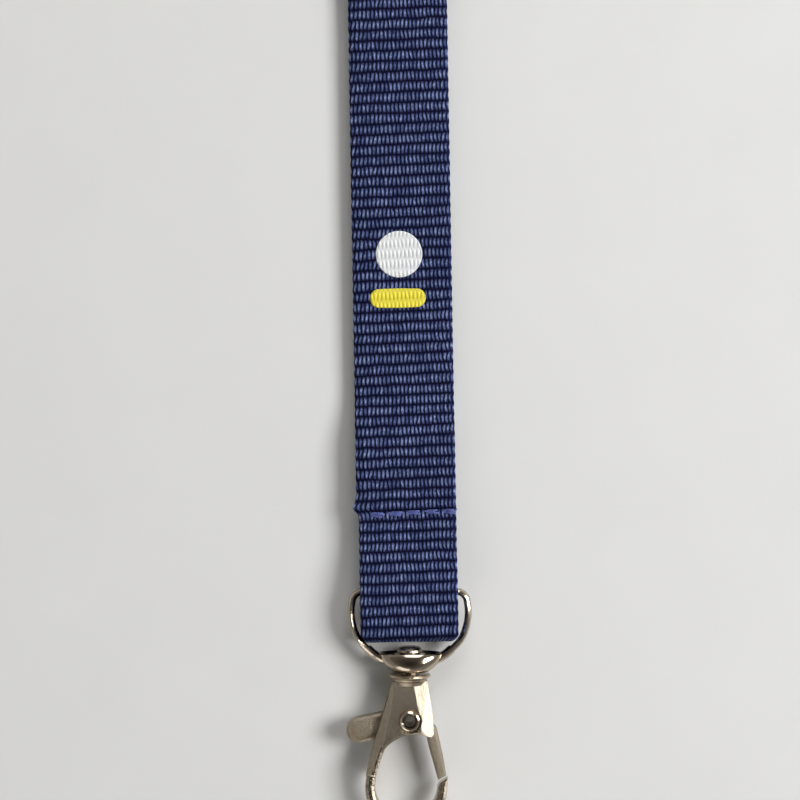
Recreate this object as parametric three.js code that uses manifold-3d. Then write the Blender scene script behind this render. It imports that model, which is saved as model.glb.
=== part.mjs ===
// Neck lanyard: ribbed webbing folded through a D-ring, with a swivelling trigger hook on the ring.
// Millimetres. +Z is up from the surface it lies on, +Y runs from the hook towards the neck, +X to the right.
// Sub-parts are drawn from the hook's pivot rivet (x = y = 0), and the whole group is then moved
// so that the origin is the middle of the footprint.
import * as THREE from 'three';
import { mergeVertices } from 'three/addons/utils/BufferGeometryUtils.js';
import Module from 'manifold-3d';

const wasm = await Module();
wasm.setup();

// ---------- driving dimensions ----------

// Webbing
const STRAP_WIDTH = 15;
const STRAP_THICKNESS = 1.2;
const LAYER_PITCH = 1.5; // centre to centre of two layers that lie on each other
const STRAP_LEAN = THREE.MathUtils.degToRad(1); // the strap leans a little to the left of the hook
const FOLD_END_Y = 11.75; // outermost point of the fold that holds the ring
const FOLD_RADIUS = 1.85; // centreline radius of that fold
const FOLD_CORNER = 1.15; // how far each corner of the fold is drawn in beside the ring's wire
const BACK_END_Y = 27; // cut end of the back strand, sewn in between the other two layers
const SEAM_Y = 31.5;
const TAIL_END_Y = 38.5; // cut end of the tail, underneath
const STRAND_END_Y = 118; // both strands run into the hank here

// Hank: the rest of the neck loop, folded to and fro
const HANK_START_Y = STRAND_END_Y + 0.3;
const HANK_END_Y = 239;
const HANK_NEAR_TOP = 9.6;
const HANK_MIDDLE_TOP = 8.4;
const HANK_FAR_TOP = 10.8;
const HANK_WAIST = 1.3; // height of the hank's underside where the band passes beneath
const BAND_WIDTH = 6;
const BAND_THICKNESS = 0.9;
const BAND_GAP = 0.3;

// Seam and printed marks
const STITCH_PITCH = 2.8;
const STITCH_COUNT = 5;
const STITCH_STEPS = 8; // straight pieces in each stitch
const SEAM_SHIFT_X = 0.5;
const THREAD_LOW = 0.27; // centre of the thread over the webbing between two stitches, and at the top of one
const THREAD_HIGH = 0.45;
const PRINT_LIFT = 0.05;
const PRINT_THICKNESS = 0.12;
const ROUND_PRINT = { x: -0.6, y: 71.8, radius: 3.6 };
const BAR_PRINT = { x: -0.9, y: 65, halfLength: 4.3, endRadius: 1.5 };

// Metal: the ring's bar, the swivel and the hook share one level centre plane
const AXIS_Z = 3.3;
const RING_BAR_Y = 19.7;
const WIRE_HALF_WIDTH = 0.55;
const WIRE_HALF_DEPTH = 0.95;
const RING_CORNER_RADIUS = 1.8;
const RING_SIDE_X = 8.9;
const RING_SEAT_Y = 10;
const RING_BASE_Y = 7.3;
const RING_SHOULDER = { halfWidth: 0.72, halfDepth: 1.15 }; // the wire's section where it thickens towards the bowl
const SWIVEL_HOLE_RADIUS = 1.5;
const STEM_RADIUS = 1.3;
const HEAD_RADIUS = 1.95;
const COLLAR_RADIUS = 3.25;
const COLLAR_FOOT_Y = 5.3;

const BODY_HALF_DEPTH = 2.3;
const BODY_TAPER = THREE.MathUtils.degToRad(6); // the body thins from the pivot towards the neck
const TAPER_START_Y = -1.9;
const LOOP_HALF_DEPTH = 1.4;
const SLOT_HALF_DEPTH = 1.25;
const LOOP_CENTRE = new THREE.Vector2(-0.55, -10.4);
const LOOP_OUTER_RADIUS = 6.35;
const LOOP_INNER_RADIUS = 4.8;
const SEAT_HALF_ANGLE = THREE.MathUtils.degToRad(13); // half of the flat seat at the bottom of the loop

const RIVET_BORE_RADIUS = 0.87;
const RIVET_BARREL_RADIUS = 1.15;
const RIVET_FLANGE_RADIUS = 1.62;
const PIVOT_HOLE_RADIUS = 1.3;
const RECESS_RADIUS = 1.9;
const RECESS_DEPTH = 0.5;

const LEVER_LOW = AXIS_Z - 1.05;
const LEVER_PLATE_THICKNESS = 1.5;
const GATE_THICKNESS = 2.1;
const HUB_RADIUS = 2.3;
const TAB_LENGTH = 8; // pivot to the centre of the tab's round end
const TAB_HALF_WIDTH = 1.95;
const TAB_TILT = THREE.MathUtils.degToRad(192); // direction of the tab from the pivot
const SPRING_WIRE_RADIUS = 0.13;
const SPRING_COIL_RADIUS = 1.6;

// ---------- materials ----------

function finish(colour, roughness, metalness) {
  return new THREE.MeshStandardMaterial({ color: colour, roughness, metalness });
}

const webbing = finish(0x17245c, 0.85, 0);
const thread = finish(0x2f49a8, 0.6, 0);
const whiteInk = finish(0xeceff2, 0.6, 0);
const yellowInk = finish(0xe8d92a, 0.6, 0);
const nickel = finish(0xcbbfae, 0.18, 1);
const castNickel = finish(0xa89a84, 0.5, 1);
const springSteel = finish(0x9a9a98, 0.35, 1);
const elastic = finish(0x15161a, 0.8, 0);

// ---------- solid helpers ----------

// A closed geometry as a solid; what is a solid already stays as it is.
function toSolid(shape) {
  if (shape instanceof wasm.Manifold) return shape;
  const bare = shape.clone();
  bare.deleteAttribute('normal');
  bare.deleteAttribute('uv');
  const merged = mergeVertices(bare, 1e-4);
  return new wasm.Manifold(new wasm.Mesh({
    numProp: 3,
    vertProperties: Float32Array.from(merged.attributes.position.array),
    triVerts: Uint32Array.from(merged.index.array),
  }));
}

function toGeometry(shape) {
  if (shape instanceof THREE.BufferGeometry) return shape;
  const mesh = shape.getMesh();
  const geometry = new THREE.BufferGeometry();
  geometry.setAttribute('position', new THREE.BufferAttribute(Float32Array.from(mesh.vertProperties), 3));
  geometry.setIndex(Array.from(mesh.triVerts));
  return geometry;
}

function join(...shapes) {
  return shapes.map(toSolid).reduce((whole, piece) => whole.add(piece));
}

function cut(shape, ...tools) {
  return tools.map(toSolid).reduce((whole, tool) => whole.subtract(tool), toSolid(shape));
}

// The shape's outline as points, leaving out any that lie on the one before.
function outlinePoints(shape, curveSegments) {
  const points = shape.getPoints(curveSegments);
  return points.filter((point, i) => point.distanceTo(points[(i + points.length - 1) % points.length]) > 1e-3);
}

// A slab between two heights with the given outline, its edges rounded by `bevel`.
function slab(shape, low, high, bevel = 0, curveSegments = 6) {
  const geometry = new THREE.ExtrudeGeometry(new THREE.Shape(outlinePoints(shape, curveSegments)), {
    depth: high - low - 2 * bevel,
    bevelEnabled: bevel > 0,
    bevelThickness: bevel,
    bevelSize: bevel,
    bevelOffset: -bevel,
    bevelSegments: 2,
  });
  return geometry.translate(0, 0, low + bevel);
}

function polygon(points) {
  return new THREE.Shape(points.map(([x, y]) => new THREE.Vector2(x, y)));
}

function disc(radius, low, high, segments = 32) {
  return new THREE.CylinderGeometry(radius, radius, high - low, segments)
    .rotateX(Math.PI / 2)
    .translate(0, 0, (low + high) / 2);
}

// A profile in the (y, z) plane carried across the strap's width.
function acrossStrap(profile, width = STRAP_WIDTH, curveSegments = 6) {
  const geometry = new THREE.ExtrudeGeometry(profile, { depth: width, bevelEnabled: false, curveSegments });
  // The outline's (x, y) becomes (y, z) and the extrusion runs along x.
  geometry.applyMatrix4(new THREE.Matrix4().makeBasis(
    new THREE.Vector3(0, 1, 0), new THREE.Vector3(0, 0, 1), new THREE.Vector3(1, 0, 0)));
  return geometry.translate(-width / 2, 0, 0);
}

// ---------- webbing ----------

const layerZ = (layer) => STRAP_THICKNESS / 2 + (layer - 1) * LAYER_PITCH;

// Eases from one height to another along y.
function ease(y, fromY, toY, fromZ, toZ) {
  return fromZ + (toZ - fromZ) * THREE.MathUtils.smoothstep(y, fromY, toY);
}

// Outline of a strip of even thickness whose centreline passes through the given (y, z) points.
function stripProfile(centreline) {
  const sides = [[], []];
  centreline.forEach((point, i) => {
    const before = centreline[Math.max(i - 1, 0)];
    const after = centreline[Math.min(i + 1, centreline.length - 1)];
    const along = after.clone().sub(before).normalize();
    const across = new THREE.Vector2(-along.y, along.x).multiplyScalar(STRAP_THICKNESS / 2);
    sides[0].push(point.clone().add(across));
    sides[1].unshift(point.clone().sub(across));
  });
  const outline = [...sides[0], ...sides[1]];
  return new THREE.Shape(THREE.ShapeUtils.area(outline) < 0 ? outline.reverse() : outline);
}

function frontStrandPath() {
  const foldY = FOLD_END_Y + FOLD_RADIUS + STRAP_THICKNESS / 2;
  const path = [];
  for (const y of [STRAND_END_Y, 80, 51, 49, 47, 45, 43, 41]) {
    path.push(new THREE.Vector2(y, ease(y, 41, 51, layerZ(3), layerZ(2))));
  }
  for (const y of [28, 26, 24, 22, 20, 18]) {
    path.push(new THREE.Vector2(y, ease(y, 18, 28, AXIS_Z + FOLD_RADIUS, layerZ(3))));
  }
  for (let step = 0; step <= 12; step += 1) {
    const angle = Math.PI / 2 + (Math.PI * step) / 12;
    path.push(new THREE.Vector2(foldY + FOLD_RADIUS * Math.cos(angle), AXIS_Z + FOLD_RADIUS * Math.sin(angle)));
  }
  for (const y of [18, 20, 22, 24, 26]) {
    path.push(new THREE.Vector2(y, ease(y, 18, 26, AXIS_Z - FOLD_RADIUS, layerZ(1))));
  }
  path.push(new THREE.Vector2(TAIL_END_Y, layerZ(1)));
  return path;
}

function backStrandPath() {
  return [BACK_END_Y, 39.2, 41, 42.5, 44, 46, 80, STRAND_END_Y].map(
    (y) => new THREE.Vector2(y, ease(y, 39.2, 46, layerZ(2), layerZ(1))));
}

// The corners of the fold are drawn in, so that the ring's wire swings past them.
function foldCorner(side) {
  const x = side * STRAP_WIDTH / 2;
  const corner = [[x - side * FOLD_CORNER, FOLD_END_Y], [x, FOLD_END_Y + FOLD_CORNER],
    [x + side, FOLD_END_Y + FOLD_CORNER + 1], [x + side, FOLD_END_Y - 1], [x - side * (FOLD_CORNER + 1), FOLD_END_Y - 1]];
  return slab(polygon(side > 0 ? corner.reverse() : corner), 0, 2 * AXIS_Z);
}

function strapFront() {
  return cut(acrossStrap(stripProfile(frontStrandPath())), foldCorner(-1), foldCorner(1));
}

function strapBack() {
  return acrossStrap(stripProfile(backStrandPath()));
}

function neckHank() {
  const middle = (HANK_START_Y + HANK_END_Y) / 2;
  const waistHalf = BAND_WIDTH / 2 + 2;
  const profile = new THREE.Shape();
  profile.moveTo(HANK_START_Y, 0);
  profile.lineTo(middle - 30, 0);
  profile.bezierCurveTo(middle - 18, 0, middle - 16, HANK_WAIST, middle - waistHalf, HANK_WAIST);
  profile.lineTo(middle + waistHalf, HANK_WAIST);
  profile.bezierCurveTo(middle + 16, HANK_WAIST, middle + 18, 0, middle + 30, 0);
  profile.lineTo(HANK_END_Y - 3, 0);
  profile.bezierCurveTo(HANK_END_Y + 1, 0, HANK_END_Y + 1, HANK_FAR_TOP, HANK_END_Y - 3, HANK_FAR_TOP);
  profile.bezierCurveTo(HANK_END_Y - 20, HANK_FAR_TOP, middle + 20, HANK_MIDDLE_TOP, middle + waistHalf, HANK_MIDDLE_TOP);
  profile.lineTo(middle - waistHalf, HANK_MIDDLE_TOP);
  profile.bezierCurveTo(middle - 20, HANK_MIDDLE_TOP, HANK_START_Y + 20, HANK_NEAR_TOP, HANK_START_Y + 3, HANK_NEAR_TOP);
  profile.bezierCurveTo(HANK_START_Y, HANK_NEAR_TOP, HANK_START_Y, 6, HANK_START_Y, 3);
  return acrossStrap(profile, STRAP_WIDTH, 8);
}

// An elastic band round the waist of the hank.
function hankBand() {
  const inside = { x: STRAP_WIDTH / 2 + BAND_GAP, low: HANK_WAIST - BAND_GAP, high: HANK_MIDDLE_TOP + BAND_GAP };
  const rounded = (grow, corner) => {
    const half = inside.x + grow;
    const low = inside.low - grow;
    const high = inside.high + grow;
    const path = new THREE.Shape();
    path.moveTo(-half + corner, low);
    path.lineTo(half - corner, low);
    path.absarc(half - corner, low + corner, corner, -Math.PI / 2, 0);
    path.absarc(half - corner, high - corner, corner, 0, Math.PI / 2);
    path.absarc(-half + corner, high - corner, corner, Math.PI / 2, Math.PI);
    path.absarc(-half + corner, low + corner, corner, Math.PI, 1.5 * Math.PI);
    return path;
  };
  const outline = rounded(BAND_THICKNESS, 1.2);
  outline.holes.push(rounded(0, 0.3));
  const geometry = new THREE.ExtrudeGeometry(outline, { depth: BAND_WIDTH, bevelEnabled: false, curveSegments: 4 });
  return geometry.rotateX(Math.PI / 2).translate(0, (HANK_START_Y + HANK_END_Y + BAND_WIDTH) / 2, 0);
}

// ---------- seam threads and printed marks ----------

// A row of stitches: one thread that rises over each stitch and dips between two.
function seamThread(surfaceZ) {
  const points = [];
  for (let i = 0; i <= STITCH_COUNT * STITCH_STEPS; i += 1) {
    const place = i / STITCH_STEPS;
    const lift = THREAD_LOW + (THREAD_HIGH - THREAD_LOW) * (0.5 - 0.5 * Math.cos(2 * Math.PI * place));
    points.push(new THREE.Vector3(STITCH_PITCH * (place - STITCH_COUNT / 2) + SEAM_SHIFT_X, SEAM_Y, surfaceZ + lift));
  }
  const section = new THREE.Shape().absellipse(0, 0, 0.22, 0.3, 0, 2 * Math.PI);
  return new THREE.ExtrudeGeometry(section, {
    steps: STITCH_COUNT * STITCH_STEPS,
    curveSegments: 4,
    bevelEnabled: false,
    extrudePath: new THREE.CatmullRomCurve3(points),
  });
}

function printOn(shape) {
  const low = layerZ(2) + STRAP_THICKNESS / 2 + PRINT_LIFT;
  return slab(shape, low, low + PRINT_THICKNESS, 0, 12);
}

function roundPrint() {
  const { x, y, radius } = ROUND_PRINT;
  return printOn(new THREE.Shape().absarc(x, y, radius, 0, 2 * Math.PI));
}

function barPrint() {
  const { x, y, halfLength, endRadius } = BAR_PRINT;
  const bar = new THREE.Shape();
  bar.absarc(x + halfLength - endRadius, y, endRadius, -Math.PI / 2, Math.PI / 2);
  bar.absarc(x - halfLength + endRadius, y, endRadius, Math.PI / 2, 1.5 * Math.PI);
  return printOn(bar);
}

// ---------- D-ring ----------

function ringWire() {
  const barHalf = RING_SIDE_X - RING_CORNER_RADIUS;
  const cornerY = RING_BAR_Y - RING_CORNER_RADIUS;
  const side = [[2, 8.35], [4.2, 9.1], [6.05, 10.35], [7.95, 12.3], [8.8, 14.5], [9.05, 16.5], [RING_SIDE_X, cornerY]];
  const outline = new THREE.Path();
  outline.moveTo(-side[0][0], side[0][1]);
  outline.splineThru(side.slice(1).map(([x, y]) => new THREE.Vector2(-x, y)));
  outline.absarc(-barHalf, cornerY, RING_CORNER_RADIUS, Math.PI, Math.PI / 2, true);
  outline.lineTo(barHalf, RING_BAR_Y);
  outline.absarc(barHalf, cornerY, RING_CORNER_RADIUS, Math.PI / 2, 0, true);
  outline.splineThru(side.slice(0, -1).reverse().map(([x, y]) => new THREE.Vector2(x, y)));
  const steps = 60;
  const route = new THREE.CatmullRomCurve3(
    outline.getSpacedPoints(steps).map(({ x, y }) => new THREE.Vector3(x, y, AXIS_Z)), false, 'centripetal');
  const section = new THREE.Shape().absellipse(0, 0, WIRE_HALF_DEPTH, WIRE_HALF_WIDTH, 0, 2 * Math.PI);
  return new THREE.ExtrudeGeometry(section, { steps, curveSegments: 6, bevelEnabled: false, extrudePath: route });
}

// The wire thickens into a shoulder on each side before it meets the bowl.
function ringShoulder(side) {
  const route = [[2.4, 8.8], [4.4, 9.3], [5.7, 10.1], [6.55, 10.85]];
  const points = route.map(([x, y]) => new THREE.Vector3(side * x, y, AXIS_Z));
  const { halfWidth, halfDepth } = RING_SHOULDER;
  const section = new THREE.Shape().absellipse(0, 0, halfDepth, halfWidth, 0, 2 * Math.PI);
  const shoulder = new THREE.ExtrudeGeometry(section, {
    steps: 14, curveSegments: 6, bevelEnabled: false, extrudePath: new THREE.CatmullRomCurve3(points),
  });
  // Its outer end narrows into the wire.
  const position = shoulder.attributes.position;
  const [startX, endX] = [route[1][0], route[3][0]];
  for (let i = 0; i < position.count; i += 1) {
    const reach = THREE.MathUtils.smoothstep(Math.abs(position.getX(i)), startX, endX);
    position.setZ(i, AXIS_Z + (position.getZ(i) - AXIS_Z) * (1 - 0.3 * reach));
  }
  return shoulder;
}

// The bowl at the foot of the ring: wide and flattened at its rim, nearly round at its base,
// with a shallow dish round the swivel's seat.
function ringBowl() {
  const profile = [[0, RING_BASE_Y], [2.5, RING_BASE_Y], [2.95, 7.45], [3.5, 7.85], [4.1, 8.4], [4.6, 9], [4.95, 9.65], [5.05, 10.05],
    [4.85, 10.2], [4.6, 10.05], [4.2, 9.65], [2.75, 9.5], [2.4, RING_SEAT_Y], [0, RING_SEAT_Y]];
  const bowl = new THREE.LatheGeometry(profile.map(([r, y]) => new THREE.Vector2(r, y)), 48);
  const position = bowl.attributes.position;
  for (let i = 0; i < position.count; i += 1) {
    const rise = Math.min((position.getY(i) - RING_BASE_Y) / (RING_SEAT_Y - RING_BASE_Y), 1);
    position.setZ(i, position.getZ(i) * (0.9 - 0.36 * rise));
  }
  return bowl.translate(0.15, 0, AXIS_Z);
}

function ring() {
  const hole = new THREE.CylinderGeometry(SWIVEL_HOLE_RADIUS, SWIVEL_HOLE_RADIUS, 8, 24).translate(0, RING_SEAT_Y - 2, AXIS_Z);
  const dish = new THREE.SphereGeometry(1, 32, 16).scale(4.2, 0.55, 2.5).translate(0.15, RING_SEAT_Y + 0.08, AXIS_Z);
  const seat = new THREE.CylinderGeometry(2.4, 2.4, 1.2, 32).scale(1, 1, 0.9).translate(0, RING_SEAT_Y - 0.6, AXIS_Z);
  return cut(join(cut(join(ringWire(), ringShoulder(-1), ringShoulder(1), ringBowl()), dish), seat), hole);
}

// ---------- hook ----------

function swivelStem() {
  const profile = [[0, COLLAR_FOOT_Y], [2.2, COLLAR_FOOT_Y], [2.5, 5.85], [2.75, 6.05], [2.85, 6.3], [COLLAR_RADIUS, 6.65],
    [COLLAR_RADIUS, 6.85], [3, 7], [2.6, 7.04], [STEM_RADIUS, 7.02], [STEM_RADIUS, 10.2], [HEAD_RADIUS - 0.15, 10.2], [HEAD_RADIUS, 10.4],
    [HEAD_RADIUS - 0.05, 10.75], [HEAD_RADIUS - 0.4, 11.05], [1, 11.2], [0, 11.2]];
  return new THREE.LatheGeometry(profile.map(([r, y]) => new THREE.Vector2(r, y)), 40).translate(0, 0, AXIS_Z);
}

// The two cheeks and the root of the left arm, before the lever's slot is cut.
function cheeks() {
  const outline = new THREE.Shape();
  outline.moveTo(3.62, -2.1);
  outline.splineThru([[3.56, 0.2], [3.2, 2.8], [2.72, 5.9]].map(([x, y]) => new THREE.Vector2(x, y)));
  outline.lineTo(-2.72, 5.9);
  outline.splineThru([[-3.55, 2.8], [-4.34, 0.2], [-5.36, -3.1], [-6.15, -5.8], [-6.75, -8.4]].map(([x, y]) => new THREE.Vector2(x, y)));
  outline.lineTo(-5.2, -8.7);
  outline.splineThru([[-4.4, -5.9], [-3.9, -4.5], [-2.84, -3.4], [-1.27, -2.5], [0.2, -2.15], [1.6, -2.15], [3.3, -2.5]].map(([x, y]) => new THREE.Vector2(x, y)));
  return slab(outline, AXIS_Z - BODY_HALF_DEPTH, AXIS_Z + BODY_HALF_DEPTH, 0.4, 3);
}

// A point on the body's face, or on the one opposite, in the tapering part.
function onFace([x, y], side) {
  const depth = BODY_HALF_DEPTH - Math.max(0, y - TAPER_START_Y) * Math.tan(BODY_TAPER);
  return new THREE.Vector3(x, y, AXIS_Z + side * depth);
}

// A block whose face passes through the line from a to b on the body's face and falls away
// to the right of that line by `tilt` degrees.
function facet(a, b, tilt, side) {
  const start = onFace(a, side);
  const along = onFace(b, side).sub(start).normalize();
  const angle = THREE.MathUtils.degToRad(tilt);
  const across = new THREE.Vector3(along.y, -along.x, 0).setLength(Math.cos(angle));
  across.z = -side * Math.sin(angle);
  const up = new THREE.Vector3().crossVectors(across, along).normalize();
  if (up.z * side < 0) up.negate();
  const flatAlong = new THREE.Vector3().crossVectors(up, across).normalize();
  const size = 60;
  const block = new THREE.BoxGeometry(size, size, size).translate(0, 0, size / 2);
  block.applyMatrix4(new THREE.Matrix4().makeBasis(new THREE.Vector3().crossVectors(flatAlong, up), flatAlong, up));
  return block.translate(start.x, start.y, start.z);
}

// The open loop: down the left arm, round the bottom and up to the nose.
function loop() {
  const { x, y } = LOOP_CENTRE;
  const outline = new THREE.Shape();
  outline.moveTo(-3.95, -4.9);
  outline.lineTo(-5.75, -4.7);
  outline.lineTo(-6.15, -6.1);
  outline.splineThru([[-6.65, -8.3], [x - LOOP_OUTER_RADIUS, y]].map(([u, v]) => new THREE.Vector2(u, v)));
  outline.absarc(x, y, LOOP_OUTER_RADIUS, Math.PI, 2 * Math.PI);
  outline.lineTo(5.85, -9);
  outline.lineTo(4.6, -9.8);
  outline.lineTo(x + LOOP_INNER_RADIUS, y);
  outline.absarc(x, y, LOOP_INNER_RADIUS, 0, -Math.PI / 2 + SEAT_HALF_ANGLE, true);
  outline.absarc(x, y, LOOP_INNER_RADIUS, -Math.PI / 2 - SEAT_HALF_ANGLE, -Math.PI, true);
  outline.splineThru([[-5.1, -8.4], [-4.55, -6.2]].map(([u, v]) => new THREE.Vector2(u, v)));
  return slab(outline, AXIS_Z - LOOP_HALF_DEPTH, AXIS_Z + LOOP_HALF_DEPTH, 0.5, 12);
}

// The space between the cheeks: open to the left for the tab, to the right and below for the gate.
function leverSlot() {
  const outline = [[-8, -3.95], [-3, -3.95], [0, -5], [5, -5], [5, -0.6], [2.75, 0.9], [2.75, 2.4], [-0.5, 3.7], [-8, 3.7]];
  return slab(polygon(outline), AXIS_Z - SLOT_HALF_DEPTH, AXIS_Z + SLOT_HALF_DEPTH);
}

function hookBody() {
  const sides = [1, -1].flatMap((side) => [
    facet([1.8, -1.2], [0.7, 5.3], 14, side),
    facet([-2.15, 5.6], [-3.6, -1.6], 34, side),
    facet([6, TAPER_START_Y], [-6, TAPER_START_Y], THREE.MathUtils.radToDeg(BODY_TAPER), side),
  ]);
  const face = AXIS_Z + BODY_HALF_DEPTH;
  const shaped = join(cut(cheeks(), ...sides), loop(), swivelStem());
  return cut(
    shaped,
    leverSlot(),
    disc(PIVOT_HOLE_RADIUS, 0, 2 * AXIS_Z),
    disc(RECESS_RADIUS, face - RECESS_DEPTH, face + 1),
    disc(RECESS_RADIUS, 2 * AXIS_Z - face - 1, 2 * AXIS_Z - face + RECESS_DEPTH),
  );
}

// ---------- lever: hub, thumb tab and gate ----------

function thumbTab() {
  const stadium = (halfWidth) => {
    const shape = new THREE.Shape();
    shape.absarc(TAB_LENGTH, 0, halfWidth, -Math.PI / 2, Math.PI / 2);
    shape.lineTo(0, halfWidth);
    shape.lineTo(0, -halfWidth);
    return shape;
  };
  const rim = 0.5;
  const low = LEVER_LOW;
  const high = LEVER_LOW + LEVER_PLATE_THICKNESS;
  const tab = slab(stadium(TAB_HALF_WIDTH), low, high + 0.5, 0.2, 8);
  const field = slab(stadium(TAB_HALF_WIDTH - rim), high, high + 2, 0, 8);
  return cut(tab.rotateZ(TAB_TILT), field.rotateZ(TAB_TILT));
}

function gateArm() {
  const outline = new THREE.Shape();
  outline.moveTo(2.5, -1.55);
  outline.lineTo(3.55, -0.75);
  outline.splineThru([[4.1, -1.35], [4.4, -2.6], [5.1, -5.7], [5.62, -8.62]].map(([x, y]) => new THREE.Vector2(x, y)));
  outline.lineTo(4.38, -9.35);
  outline.splineThru([[3.4, -5.9], [2.75, -3.4], [2.5, -1.55]].map(([x, y]) => new THREE.Vector2(x, y)));
  return slab(outline, LEVER_LOW, LEVER_LOW + GATE_THICKNESS, 0.4, 3);
}

function gateLever() {
  const plateTop = LEVER_LOW + LEVER_PLATE_THICKNESS;
  const root = polygon([[0, 1.8], [-1, -1.8], [2.9, -2.4], [3.6, -1.4], [3, -0.5]]);
  const whole = join(thumbTab(), disc(HUB_RADIUS, LEVER_LOW, plateTop), slab(root, LEVER_LOW + 0.02, plateTop - 0.02), gateArm());
  const clearance = disc(HUB_RADIUS, plateTop, plateTop + 2);
  return cut(whole, clearance, disc(PIVOT_HOLE_RADIUS, 0, 2 * AXIS_Z));
}

// ---------- pivot ----------

// A hollow rivet, rolled over at both ends.
function pivotRivet() {
  const top = BODY_HALF_DEPTH + 0.15;
  const under = BODY_HALF_DEPTH - RECESS_DEPTH + 0.05;
  const upper = [[RIVET_BARREL_RADIUS, under - 0.2], [RIVET_BARREL_RADIUS + 0.1, under], [RIVET_FLANGE_RADIUS - 0.1, under], [RIVET_FLANGE_RADIUS, under + 0.2],
    [RIVET_FLANGE_RADIUS - 0.12, top - 0.12], [1.3, top], [1.05, top - 0.08], [RIVET_BORE_RADIUS, top - 0.35]];
  const lower = upper.map(([r, h]) => [r, -h]).reverse();
  const profile = [...lower, ...upper, lower[0]];
  return new THREE.LatheGeometry(profile.map(([r, h]) => new THREE.Vector2(r, h)), 32)
    .rotateX(Math.PI / 2)
    .translate(0, 0, AXIS_Z);
}

// A torsion spring round the rivet, with one leg along the tab and one along the cheek.
function gateSpring() {
  const low = LEVER_LOW + LEVER_PLATE_THICKNESS + SPRING_WIRE_RADIUS + 0.08;
  const turns = 1.3;
  const rise = 0.4;
  const points = [new THREE.Vector3(-2.5, 0.55, low)];
  const start = Math.PI / 2 + 0.2;
  const steps = 20;
  for (let i = 0; i <= steps; i += 1) {
    const angle = start - (turns * 2 * Math.PI * i) / steps;
    points.push(new THREE.Vector3(SPRING_COIL_RADIUS * Math.cos(angle), SPRING_COIL_RADIUS * Math.sin(angle), low + (rise * i) / steps));
  }
  points.splice(1, 0, new THREE.Vector3(-1.3, 1.3, low));
  points.push(new THREE.Vector3(1.7, 1.9, low + rise));
  const section = new THREE.Shape().absarc(0, 0, SPRING_WIRE_RADIUS, 0, 2 * Math.PI);
  return new THREE.ExtrudeGeometry(section, {
    steps: 48, curveSegments: 3, bevelEnabled: false, extrudePath: new THREE.CatmullRomCurve3(points, false, 'centripetal'),
  });
}

// ---------- assembly ----------

function part(name, shape, material) {
  const mesh = new THREE.Mesh(toGeometry(shape), material);
  mesh.name = name;
  return mesh;
}

const strap = new THREE.Group();
strap.add(
  part('strap_front', strapFront(), webbing),
  part('strap_back', strapBack(), webbing),
  part('neck_hank', neckHank(), webbing),
  part('hank_band', hankBand(), elastic),
  part('seam_thread_top', seamThread(layerZ(3) + STRAP_THICKNESS / 2), thread),
  part('print_round', roundPrint(), whiteInk),
  part('print_bar', barPrint(), yellowInk),
);
// The strap leans about the middle of its fold.
strap.position.set(FOLD_END_Y * Math.sin(STRAP_LEAN), FOLD_END_Y * (1 - Math.cos(STRAP_LEAN)), 0);
strap.rotation.z = STRAP_LEAN;

const hook = new THREE.Group();
hook.add(
  part('ring', ring(), nickel),
  part('hook_body', hookBody(), nickel),
  part('gate_lever', gateLever(), castNickel),
  part('pivot_rivet', pivotRivet(), nickel),
  part('gate_spring', gateSpring(), springSteel),
);

const lanyard = new THREE.Group();
lanyard.add(strap, hook);
const footprint = new THREE.Box3().setFromObject(lanyard);
const middle = footprint.getCenter(new THREE.Vector3());
lanyard.position.set(-middle.x, -middle.y, -footprint.min.z);

export default lanyard;
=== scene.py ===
"""Neck lanyard: ribbed webbing, sewn seam, printed marks, banded hank, D-ring and swivelling trigger hook."""

import math

import bmesh
import bpy
import numpy as np
from bpy.props import FloatProperty, FloatVectorProperty, IntProperty, PointerProperty
from mathutils import Matrix, Vector


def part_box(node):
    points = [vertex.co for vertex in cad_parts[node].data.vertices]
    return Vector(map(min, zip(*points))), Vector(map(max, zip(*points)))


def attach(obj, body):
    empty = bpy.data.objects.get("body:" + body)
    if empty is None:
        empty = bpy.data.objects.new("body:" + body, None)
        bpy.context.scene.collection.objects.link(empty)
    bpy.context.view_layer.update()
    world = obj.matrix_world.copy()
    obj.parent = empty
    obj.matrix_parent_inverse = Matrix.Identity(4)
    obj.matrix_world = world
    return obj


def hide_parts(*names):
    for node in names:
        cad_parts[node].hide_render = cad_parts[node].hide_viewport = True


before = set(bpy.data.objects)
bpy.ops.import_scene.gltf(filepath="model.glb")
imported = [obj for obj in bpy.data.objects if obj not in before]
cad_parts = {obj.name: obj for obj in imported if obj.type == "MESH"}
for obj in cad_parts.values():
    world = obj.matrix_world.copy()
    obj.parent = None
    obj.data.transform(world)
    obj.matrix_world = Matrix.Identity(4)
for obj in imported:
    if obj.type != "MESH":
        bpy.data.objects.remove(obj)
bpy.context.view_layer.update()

bl_info = {
    "name": "Neck Lanyard",
    "version": (1, 0, 0),
    "blender": (4, 5, 0),
    "location": "View3D > Sidebar > Lanyard",
    "description": "Builds the webbing, seam, prints, band and metal of a neck lanyard on its frame",
    "category": "Object",
}

MM = 0.001


# ---------- places taken from the frame ----------

def node_middle(name):
    low, high = (Vector(corner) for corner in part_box(name))
    return (low + high) / 2


PIVOT = node_middle("pivot_rivet")  # everything below is laid out in millimetres from the hook's pivot
AXIS_HEIGHT = PIVOT.z / MM


def world_point(x, y, z):
    """Millimetres from the pivot, with z from the surface, as a point in the frame."""
    return Vector((PIVOT.x + x * MM, PIVOT.y + y * MM, z * MM))


# ---------- settings ----------

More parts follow.
